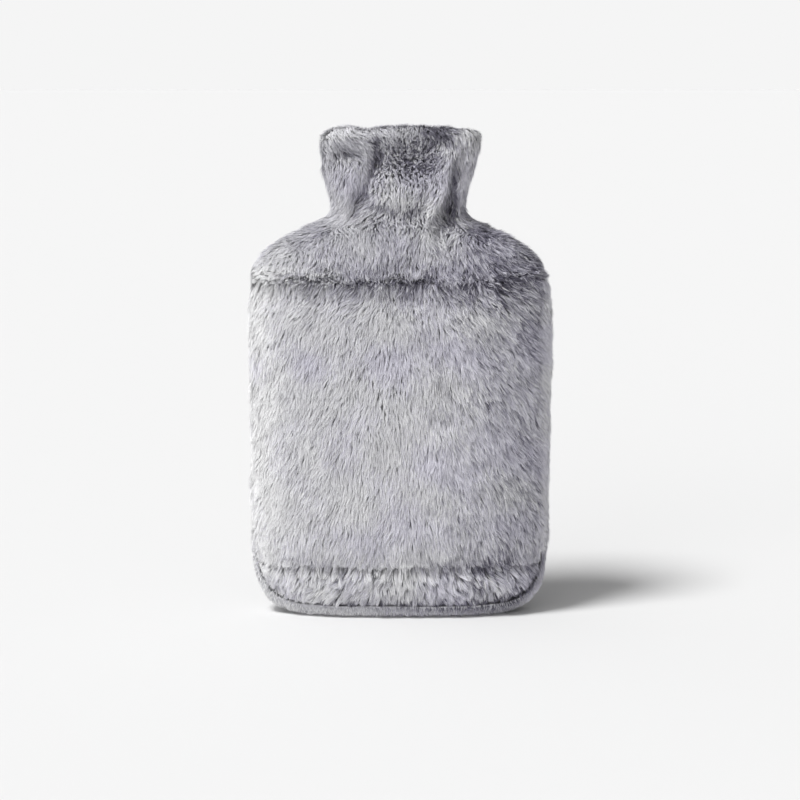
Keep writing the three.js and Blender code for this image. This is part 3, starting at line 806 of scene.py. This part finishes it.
def shell(name, outer, inner, material, closed):
    """A closed sheet between two grids of the same size. closed joins the last column to the
    first."""
    rows, columns = outer.shape[:2]
    vertices = np.concatenate([outer.reshape(-1, 3), inner.reshape(-1, 3)]) * MM
    under = rows * columns
    faces = []
    last = columns if closed else columns - 1
    for i in range(rows - 1):
        for j in range(last):
            a, b = i * columns + j, i * columns + (j + 1) % columns
            faces.append((a, b, b + columns, a + columns))
            faces.append((under + a, under + a + columns, under + b + columns, under + b))
    for j in range(last):
        a, b = j, (j + 1) % columns
        faces.append((b, a, under + a, under + b))
        a, b = a + (rows - 1) * columns, b + (rows - 1) * columns
        faces.append((a, b, under + b, under + a))
    if not closed:
        for i in range(rows - 1):
            a, b = i * columns, (i + 1) * columns
            faces.append((a, b, under + b, under + a))
            a, b = a + columns - 1, b + columns - 1
            faces.append((b, a, under + a, under + b))
    mesh = bpy.data.meshes.new(name)
    mesh.from_pydata([tuple(v) for v in vertices], [], faces)
    mesh.update()
    mesh.shade_smooth()
    mesh.materials.append(material)
    return linked(name, mesh)


def area_of(grid):
    """A grid's area in square metres."""
    a = grid[:-1, :-1]
    cross = np.cross(grid[:-1, 1:] - a, grid[1:, :-1] - a)
    return float(np.linalg.norm(cross, axis=-1).sum()) * MM * MM


def depth_at(z):
    """How far the backing lies under the skin: less where the cloth turns over the rim."""
    return PILE_DEPTH + (LIP_DEPTH - PILE_DEPTH) * smoothstep(z, LIP_START - 12, LIP_START)


def panel(part, span, low, high, rows, across=66):
    """A backing sheet over the columns in span, from the height low(x) to high(x)."""
    columns = np.linspace(span[0] + SIDE_MARGINS[0], span[1] - SIDE_MARGINS[1], across)
    place = skin.at(np.full(len(columns), row_of(150.0)), columns)[0]
    for _ in range(3):  # an edge's height depends on x, which depends on the height
        edges = [np.broadcast_to(edge(place[:, 0]), len(columns)) for edge in (low, high)]
        place = skin.at(row_of(sum(edges) / 2), columns)[0]
    heights = np.linspace(edges[0], edges[1], rows)
    place, normal = skin.at(row_of(heights), np.broadcast_to(columns, heights.shape))
    sunk = depth_at(heights)[..., None]
    outer, inner = place - normal * sunk, place - normal * (sunk + BACKING)
    return fitted(shell("backing_" + part, outer, inner, knit, False), part), area_of(outer)


def lip_sheet():
    """The cloth that turns over the rim and down inside the mouth."""
    rows = np.linspace(row_of(LIP_START) - 0.4, skin.last_row, 26)[:, None]
    rows, columns = np.broadcast_arrays(rows, np.arange(0, COLUMNS, 2.0)[None, :])
    place, normal = skin.at(rows, columns)
    outer, inner = place - normal * LIP_DEPTH, place - normal * (LIP_DEPTH + LIP_BACKING)
    return fitted(shell("backing_lip", outer, inner, knit, True), "back"), area_of(outer)


def gusset_cloth():
    """The gusset: a thin sheet round the bottom edge and under the base."""
    columns = np.arange(0, COLUMNS, 2.0)
    place = skin.at(np.full(len(columns), row_of(20.0)), columns)[0]
    for _ in range(3):
        x = place[:, 0]
        top = np.where(np.abs(x) > GUSSET_TIP[0] - 0.5, GUSSET_TIP[1], gusset_seam_height(x))
        place = skin.at(row_of((top + 2) / 2), columns)[0]
    outer, inner = [], []
    for t in np.linspace(0, 1, 10):
        z = top * (1 - t) + BASE_EDGE * t
        place, normal = skin.at(row_of(z), columns)
        place[:, 2] = z
        outer.append(place - normal * GUSSET_DEPTHS[0])
        inner.append(place - normal * GUSSET_DEPTHS[1])
    edge = outer[-1]
    for k in BASE_RINGS:
        ring = edge * [1 - 0.35 * k, 1 - k, 0]
        outer.append(ring + [0, 0, BASE_HEIGHTS[0]])
        inner.append(ring + [0, 0, BASE_HEIGHTS[1]])
    outer, inner = np.array(outer)[::-1], np.array(inner)[::-1]
    outer[..., 2] = np.maximum(outer[..., 2], BASE_HEIGHTS[0])
    inner[..., 2] = np.maximum(inner[..., 2], BASE_HEIGHTS[1])
    return fitted(shell("gusset_ground", outer, inner, velvet, True), "gusset"), area_of(outer)


# ---------------------------------------------------------------- the long pile
LONG_STRANDS = 310000  # scattered, before those on the gusset are dropped
LOCKS, TUFTS = 9000, 80000  # the broad groups that strands are gathered in, and the fine ones
LONG_WIDTH = 0.38
LONGEST_REACH = 10.5  # over the cloth, of strands that lie flat
BACK_DENSITY = 0.5  # of planting, by the front's
LIP_DENSITY = 1.1
INSIDE_DENSITY = 0.35
SEAM_MARGIN = 0.8  # how far over the gusset's seam the long pile starts
GUSSET_ZONE = 60.0  # above this nothing reaches the gusset's seam
HOLLOW, HOLLOW_REACH = (6, 318), (22, 12)  # at the front of the neck, as x and z


def planted(place):
    """Where the long pile grows: everywhere but on the gusset."""
    x, z = place[:, 0], place[:, 2]
    at_side = (np.abs(x) > GUSSET_TIP[0]) & (z < GUSSET_TOP)
    return (z > gusset_seam_height(x) + SEAM_MARGIN) & ~at_side


def density():
    """How densely each cell of the skin is planted: the back and the mouth's inside less so."""
    front = smoothstep(-skin.normals[:-1, :, 1], -0.3, 0.3)
    weight = BACK_DENSITY + (1 - BACK_DENSITY) * front
    weight[int(row_of(LIP_START)) :] = LIP_DENSITY
    weight[skin.rows - INSIDE_ROWS :] = INSIDE_DENSITY
    return weight


def comb_pile(pile):
    """Sets how each strand lies, from the fields and some noise."""
    at, x, y, z = pile.place, pile.x, pile.y, pile.z
    pile.lip = pile.row > row_of(LIP_START)
    facing = smoothstep(-pile.normal[:, 1], -0.25, 0.35)  # 1 on the front, 0 on the back
    facing = np.where(pile.lip, smoothstep(-y, -6, 6), facing)
    pile.front = (y < 0) & ~pile.lip | pile.lip & (facing > 0.5)
    pairs = zip(front_comb(x, z), back_comb(x, z))
    angle, lift, shade = (f * facing + b * (1 - facing) for f, b in pairs)

    # the lie: pile that stands up is curly, and points every way
    curl = smoothstep(lift, 0.5, 0.85)
    pile.angle = angle + 0.12 * noise(at, size=36, seed=11) + 0.12 * noise(at, size=13, seed=12)
    pile.angle += 0.9 * curl * pile.rng.normal(0, 1, pile.count)
    lift = np.clip(lift + 0.06 * noise(at, size=18, seed=13), 0.12, 1)
    pile.reach = LONGEST_REACH * (1 - lift) ** 0.6

    # the shade: painted shade in the creases, placed where the strands show most,
    # and painted light on the sides, which catch the light
    dark, squash = creases(x + SHOWING * pile.reach * np.sin(pile.angle), z - pile.drop())
    pile.shade = shade + dark * facing + 0.03 * noise(at, size=30, seed=14)
    pile.shade += 0.02 * noise(at, size=9, seed=15)
    pile.shade += 0.12 * curl * pile.rng.normal(0, 1, pile.count)
    side = smoothstep(z, 20, 60) * smoothstep(z, 262, 240)
    pile.shade += side * (0.36 * smoothstep(-x, 68, 104) + 0.60 * smoothstep(x, 92, 103))
    # painted light on the rim, most at its ends
    lip_end_light = smoothstep(np.abs(x), 24, 46)
    pile.shade += pile.lip * (0.06 + (0.32 - 0.16 * facing) * lip_end_light)

    # the height of the tips over the backing, higher on the rim
    pile.depth = np.where(pile.lip, LIP_DEPTH, depth_at(z))
    pile.height = pile.depth * (1 - squash * facing) + 0.5 * noise(at, size=15, seed=16)
    pile.height = np.where(pile.lip, pile.height + 0.9, pile.height)
    pile.width = 1.25 - 0.25 * facing

    # the neck: shorter and curlier, most so in its hollow
    away = (x - HOLLOW[0]) / HOLLOW_REACH[0], (z - HOLLOW[1]) / HOLLOW_REACH[1]
    pile.hollow = facing * np.exp(-(away[0] ** 4) - away[1] ** 4)
    neck = smoothstep(z, 262, 276) * facing
    middle = neck * np.exp(-(((x - 3) / 24) ** 4))
    pile.curls = np.where(pile.lip, 0.2, np.maximum(0.85 * middle, curl))
    pile.locks = 0.25 * middle
    pile.reach *= 1 - (0.22 + 0.16 * middle) * neck


def dress_hem(pile):
    """The yoke's pile ends in tufts at its hem, and what grows under it is ruffled, in painted
    shade.
    """
    over = pile.z - tips_line(pile.x)
    tufts, shadowed = stretches(HEM_TUFTS, pile.x), np.minimum(stretches(HEM_SHADOWS, pile.x), 1)
    uneven = 2.4 * noise(pile.place, size=5, seed=21) + 1.2 * noise(pile.place, size=16, seed=24)
    yoke = pile.front & (pile.z >= hem_height(pile.x))
    limit = 0.9 * over + uneven + 10 * tufts
    pile.reach = np.where(yoke, np.maximum(np.minimum(pile.reach, limit), 1.2), pile.reach)
    edge = yoke * bell(over, 5) * smoothstep(pile.x, 104, 96)
    pile.height += edge * (12 * tufts - 1.0 - 1.2 * shadowed)
    # the tufts at the hem's edge are lighter, partly in painted light
    pile.shade += edge * 1.2 * tufts
    # painted shade under the hem, where roots show in the shadow of its overhang: a line along the
    # tips, a stretch below that fades downwards, and a smudge above the line
    tip = over - pile.drop()
    line = bell(tip + 2.2 - uneven, 3.4)
    roots = (tip < 0) * smoothstep(tip, -24, -1)
    shade_smudge = bell(tip - 8, 3.5)
    dark = (0.07 + 0.15 * shadowed) * line + (0.03 + 0.24 * shadowed) * roots + 0.09 * shade_smudge
    pile.shade -= dark * pile.front
    groove = pile.front * ~yoke * bell(pile.z - hem_height(pile.x), 4.0)
    pile.height -= (0.8 + 1.6 * shadowed) * groove
    near = pile.front * bell(tip + 6, 13) * smoothstep(np.abs(pile.x), 103, 94)
    pile.curls = np.maximum(pile.curls, 0.8 * near)
    pile.locks = np.maximum(pile.locks, 0.9 * near)
    pile.ruffle = near * bell(tip + 3, 8) * np.minimum(0.4 + shadowed, 1)
    return yoke


def dress_band_seam(pile):
    """The soft line where the foot band is sewn on, in painted shade that runs up from it in wisps.
    """
    shadowed = np.minimum(stretches(BAND_SHADOWS, pile.x), 1)
    uneven = 1.3 * noise(pile.place, size=7, seed=23)
    over = pile.z - BAND_LINE
    limit = np.maximum(1.2 + 0.9 * over + uneven, 1.0)
    pile.reach = np.where(pile.front & (over >= 0), np.minimum(pile.reach, limit), pile.reach)
    tip = over - pile.drop()
    line = bell(tip + 1.0 - uneven, 3.0)
    shadow_wisps = shadowed * bell(tip - 2, 5.5)
    covered = bell(over + 2, 3)  # the roots of the band's topmost pile show here
    # painted shade along the seam line and in the wisps above it
    pile.shade += (0.12 * (1 - shadowed) * covered - 0.10 * shadowed * line - 0.19 * shadow_wisps) * pile.front
    pile.height -= pile.front * 0.9 * shadowed * bell(over, 2.5)
    locks = pile.front * smoothstep(tip, 8, 0) * smoothstep(np.abs(pile.x), 98, 82)
    pile.locks = np.maximum(pile.locks, locks)


def dress_gusset_seam(pile):
    """The pile is low along the gusset's seam, in painted shade there, and doesn't hang over it."""
    above = pile.z - gusset_seam_height(pile.x)
    uneven = 1.4 * noise(pile.place, size=5, seed=22)
    over_tip = 7 * smoothstep(np.abs(pile.x), 98.5, 100.5)  # there it does, as at any side seam
    limit = np.maximum(1.0, 0.9 * above - 0.5 + uneven + over_tip)
    low = pile.z < GUSSET_ZONE
    pile.reach = np.where(low, np.minimum(pile.reach, limit), pile.reach)
    seam = distance_to_gusset_seam(pile.x, pile.z - pile.drop() * low)
    line = bell(seam - 0.5, 3.2)
    faint = 0.35 + 0.65 * smoothstep(pile.x, -95, -55)  # its painted shade is faint at the left end, which faces the light
    fade = smoothstep(pile.z, 44, 22) * faint
    # painted shade along the seam, deeper towards the right
    pile.shade -= fade * ((0.46 + 0.003 * pile.x) * line + 0.12 * bell(seam, 7))
    pile.height -= 2.4 * faint * bell(distance_to_gusset_seam(pile.x, pile.z), 3)


def long_pile_pieces():
    pile = Pile(LONG_STRANDS, density(), seed=1, keep=planted)
    comb_pile(pile)
    yoke = dress_hem(pile)
    dress_band_seam(pile)
    dress_gusset_seam(pile)
    locks, curls = pile.locks, pile.curls
    shaded = pile.front * smoothstep(pile.x, -20, 70)
    calm = 1 - 0.5 * smoothstep(-pile.x, 50, 100)  # the left side is evenly pale
    pile.tuft(
        LOCKS,
        seed=4,
        turn=0.06 + 0.14 * locks,
        rise=0.2 + 0.5 * locks,
        tint=0.012 + 0.035 * shaded + 0.08 * locks,
        pull=0.5 * locks,
    )
    pile.tuft(
        TUFTS,
        seed=5,
        turn=0.12 + 0.30 * curls + 0.5 * pile.hollow + 0.15 * pile.ruffle,
        rise=calm * (0.25 + 0.35 * curls + 0.6 * pile.hollow),
        tint=calm * (0.045 + 0.13 * shaded + 0.04 * locks + 0.01 * curls)
        + 0.13 * pile.hollow
        + 0.12 * pile.ruffle,
        pull=calm * (0.28 + 0.16 * curls),
    )
    pile.grow(pile.depth, jitter=0.38)
    lower = np.where(pile.z > BAND_SEAM, 1, 2)
    region = np.where(pile.front, np.where(yoke, 0, lower), 3)
    made = {}
    for number, part in enumerate(("yoke", "body", "band", "back")):
        ids = np.flatnonzero(region == number)
        ids = ids[np.argsort(pile.x[ids])]
        groups = np.array_split(ids, math.ceil(len(ids) / LONGEST_PIECE))
        made[part] = [
            fitted(pile.mesh(f"pile_{part}_{k + 1}", group, LONG_WIDTH, long_pile), part)
            for k, group in enumerate(groups)
        ]
    return made


# ---------------------------------------------------------------- the gusset's nap
SHORT_STRANDS = 24000  # scattered, before those off the gusset are dropped
SHORT_TUFTS = 5000
SHORT_WIDTH = 0.45
NAP_DEPTH, NAP_HEIGHT, NAP_REACH = 2.0, 1.9, 3.2


def on_gusset(place):
    return ~planted(place) & (place[:, 2] < GUSSET_TOP)


def short_pile_piece():
    """Short, light and smooth pile, combed down and outwards."""
    low = (skin.points[:-1, :, 2] < GUSSET_ZONE) * 1.0
    pile = Pile(SHORT_STRANDS, low, seed=2, keep=on_gusset)
    at = pile.place
    seam = distance_to_gusset_seam(pile.x, pile.z)
    outwards = np.sign(pile.x) * smoothstep(np.abs(pile.x), 40, 90)
    pile.angle = 0.25 * noise(at, size=9, seed=31) + 0.3 * outwards
    right = smoothstep(pile.x, -90, 60)
    # painted light: lighter on the left, which faces the light, and at the right end
    pile.shade = 0.19 - 0.002 * pile.x + 0.34 * smoothstep(pile.x, 78, 96)
    pile.shade += 0.03 * noise(at, size=7, seed=32)
    # painted shade along the seam, deeper and wider on the right
    pile.shade -= (0.12 + 0.42 * right) * bell(seam, 2.0 + 1.4 * right)
    # a painted shadow along the bottom edge, where it meets the floor
    pile.shade -= 0.40 * smoothstep(pile.z, 3.6, 1.0)
    pile.height = NAP_HEIGHT + 0.2 * noise(at, size=8, seed=33)
    pile.reach = np.minimum(NAP_REACH, 0.6 + 0.8 * pile.z)
    pile.tuft(SHORT_TUFTS, seed=6, turn=0.15, rise=0.1, tint=0.02, pull=0.3)
    pile.grow(np.full(pile.count, NAP_DEPTH), jitter=0.15)
    everything = np.arange(pile.count)
    return fitted(pile.mesh("pile_gusset", everything, SHORT_WIDTH, long_pile), "gusset")


# ---------------------------------------------------------------- the whole cover
def over_gusset(x):
    return gusset_seam_height(x) + 0.5


def band_foot(x):
    return np.minimum(over_gusset(x), BAND_SEAM - 2)


def under_hem(x):
    return hem_height(x) - 0.5


def build():
    pieces = long_pile_pieces()
    pieces["gusset"] = [short_pile_piece()]
    sheets = {
        "yoke": panel("yoke", FRONT, hem_height, lambda x: LIP_START, 56, 120),
        "body": panel("body", FRONT, lambda x: BAND_SEAM + 0.3, under_hem, 40),
        "band": panel("band", FRONT, band_foot, lambda x: BAND_SEAM - 0.3, 8),
        "back": panel("back", BACK, over_gusset, lambda x: LIP_START, 56),
        "gusset": gusset_cloth(),
    }
    lip, area = lip_sheet()  # the sheet over the rim and down inside the mouth, and its area


build()


# ---------------------------------------------------------------- stage
HORIZON = 0.913  # what the floor shows far away, so that no edge is seen behind the object
FLOOR = 0.8
FLOOR_SIDE, FLOOR_NEAR, FLOOR_FAR = 90, -8, 400  # its edges, in metres
ROOM_LEFT, ROOM_RIGHT = 0.62, 0.01  # the room's brightness on each side
KEY, FILL = 2.79, 1.3  # the suns' strengths
CAMERA_DISTANCE = 1.535  # metres, from what it looks at
CAMERA_ELEVATION = math.radians(8)
CAMERA_TARGET = Vector((0, 0, 0.1484))


def stage():
    mesh = bpy.data.meshes.new("floor")
    near = [(-FLOOR_SIDE, FLOOR_NEAR, 0), (FLOOR_SIDE, FLOOR_NEAR, 0)]
    far = [(FLOOR_SIDE, FLOOR_FAR, 0), (-FLOOR_SIDE, FLOOR_FAR, 0)]
    mesh.from_pydata(near + far, [], [(0, 1, 2, 3)])
    material, _, shader = nodes_of("floor_paper")
    shader.inputs["Base Color"].default_value = (FLOOR, FLOOR, FLOOR, 1)
    shader.inputs["Roughness"].default_value = 1
    shader.inputs["Specular IOR Level"].default_value = 0
    mesh.materials.append(material)
    linked("floor", mesh)


def sun(name, azimuth, elevation, angle, power):
    """The angles are in degrees, and azimuth is how far to the left of the camera it stands."""
    a, e = math.radians(azimuth), math.radians(elevation)
    towards = Vector((-math.sin(a) * math.cos(e), -math.cos(a) * math.cos(e), math.sin(e)))
    light = bpy.data.lights.new(name, "SUN")
    light.angle = math.radians(angle)
    light.energy = power
    thing = bpy.data.objects.new(name, light)
    thing.location = towards * 2
    thing.rotation_euler = towards.to_track_quat("Z", "Y").to_euler()
    bpy.context.scene.collection.objects.link(thing)


def lights():
    """A broad soft key and a low fill from the left, and a pale room that is brighter on the left
    and shows one even colour at the horizon, up to 0.07 of the way to its top."""
    world = bpy.data.worlds.new("studio")
    world.use_nodes = True
    tree = world.node_tree
    place = tree.nodes.new("ShaderNodeTexCoord")
    split = tree.nodes.new("ShaderNodeSeparateXYZ")
    tree.links.new(place.outputs["Generated"], split.inputs["Vector"])
    sides = tree.nodes.new("ShaderNodeMapRange")
    sides.inputs["From Min"].default_value = -1
    tree.links.new(split.outputs["X"], sides.inputs["Value"])
    room = ramp(tree, sides.outputs["Result"], [(0.0, (ROOM_LEFT,) * 3), (1.0, (ROOM_RIGHT,) * 3)])
    band = ramp(tree, split.outputs["Z"], [(0.07, (1, 1, 1)), (0.16, (0, 0, 0))])
    mix = tree.nodes.new("ShaderNodeMix")
    mix.data_type = "RGBA"
    tree.links.new(band, mix.inputs["Factor"])
    tree.links.new(room, mix.inputs["A"])
    mix.inputs["B"].default_value = (HORIZON, HORIZON, HORIZON, 1)
    tree.links.new(mix.outputs["Result"], tree.nodes["Background"].inputs["Color"])
    bpy.context.scene.world = world
    sun("key", azimuth=51, elevation=60, angle=18, power=KEY)
    sun("fill", azimuth=30, elevation=5, angle=50, power=FILL)


def camera():
    data = bpy.data.cameras.new("camera")
    data.lens = 100
    data.sensor_width = 36
    thing = bpy.data.objects.new("camera", data)
    back = Vector((0, -math.cos(CAMERA_ELEVATION), math.sin(CAMERA_ELEVATION)))
    thing.location = CAMERA_TARGET + CAMERA_DISTANCE * back
    thing.rotation_euler = (CAMERA_TARGET - thing.location).to_track_quat("-Z", "Y").to_euler()
    bpy.context.scene.collection.objects.link(thing)
    bpy.context.scene.camera = thing


stage()
lights()
camera()
bpy.context.scene.view_settings.view_transform = "Standard"
